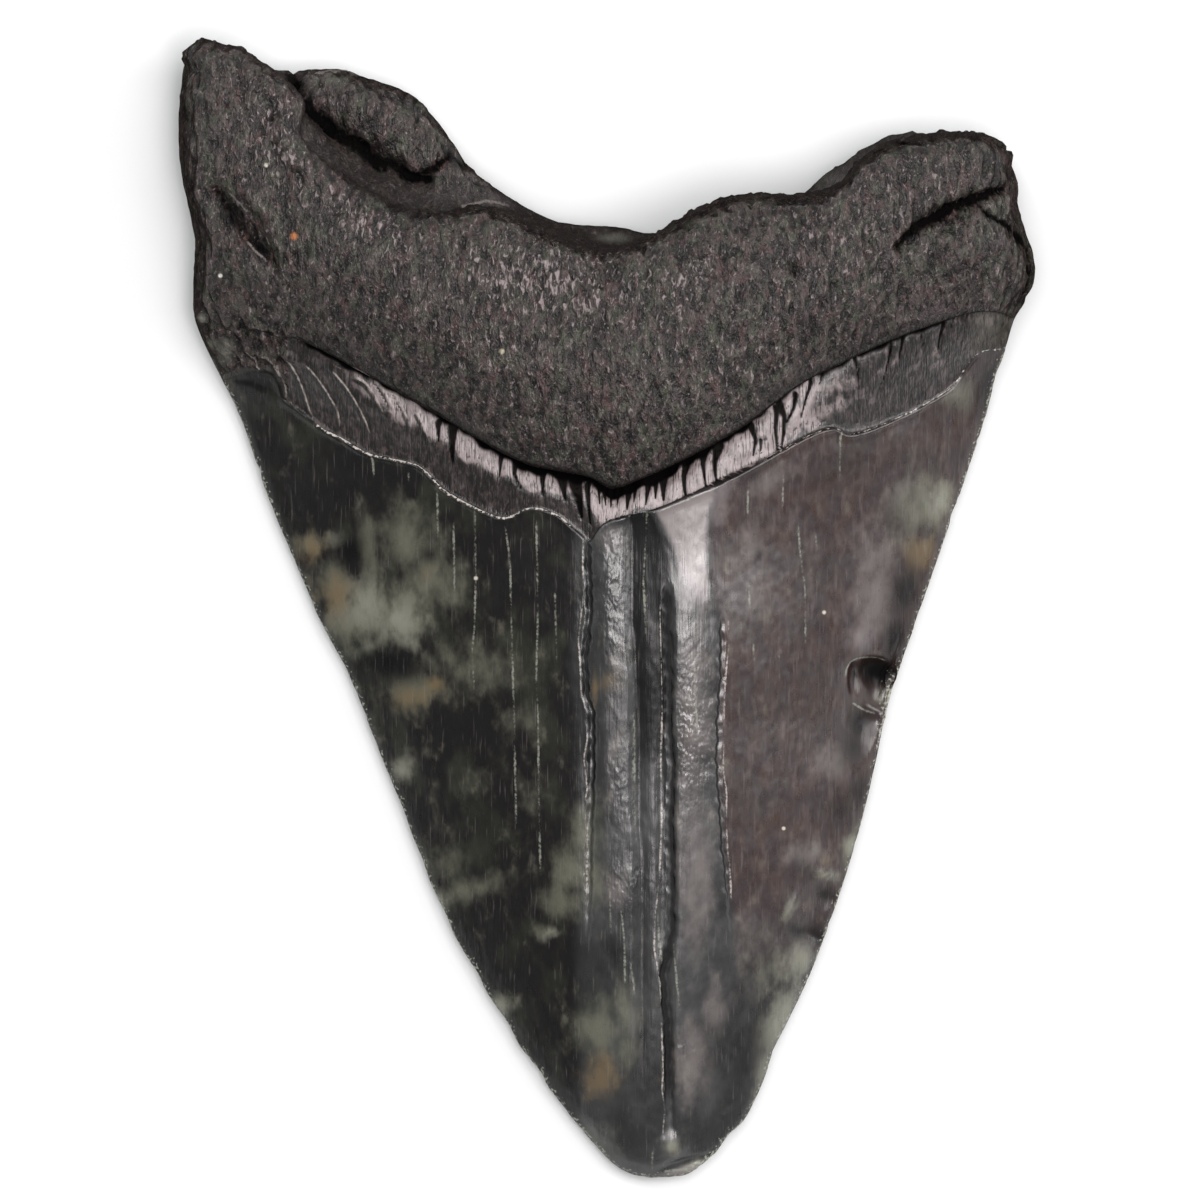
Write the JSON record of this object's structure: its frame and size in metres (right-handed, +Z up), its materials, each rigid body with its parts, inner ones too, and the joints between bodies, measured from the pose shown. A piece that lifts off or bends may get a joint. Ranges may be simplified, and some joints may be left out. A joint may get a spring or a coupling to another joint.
{
  "type": "fossil shark tooth",
  "caption": "Large fossil shark tooth lying on its flatter face, with a lobed porous root, a dark chevron band and a glossy pointed crown.",
  "frame": {"origin": "middle of the box around the tooth, on the surface that it lies on", "axes": "+Y from the worn tip towards the root's lobes, +X to the right as seen from the display face, +Z up through the display face"},
  "size_m": [0.0954, 0.127, 0.0266],
  "materials": {
    "fossil_tooth": "Petrified tooth: matt, finely porous dark brown-grey root, dark satin band with cracks, and glossy near-black enamel with olive, tan and purple-brown patches"
  },
  "bodies": {
    "root": {"tooth": "fossil_tooth"}
  },
  "joints": []
}
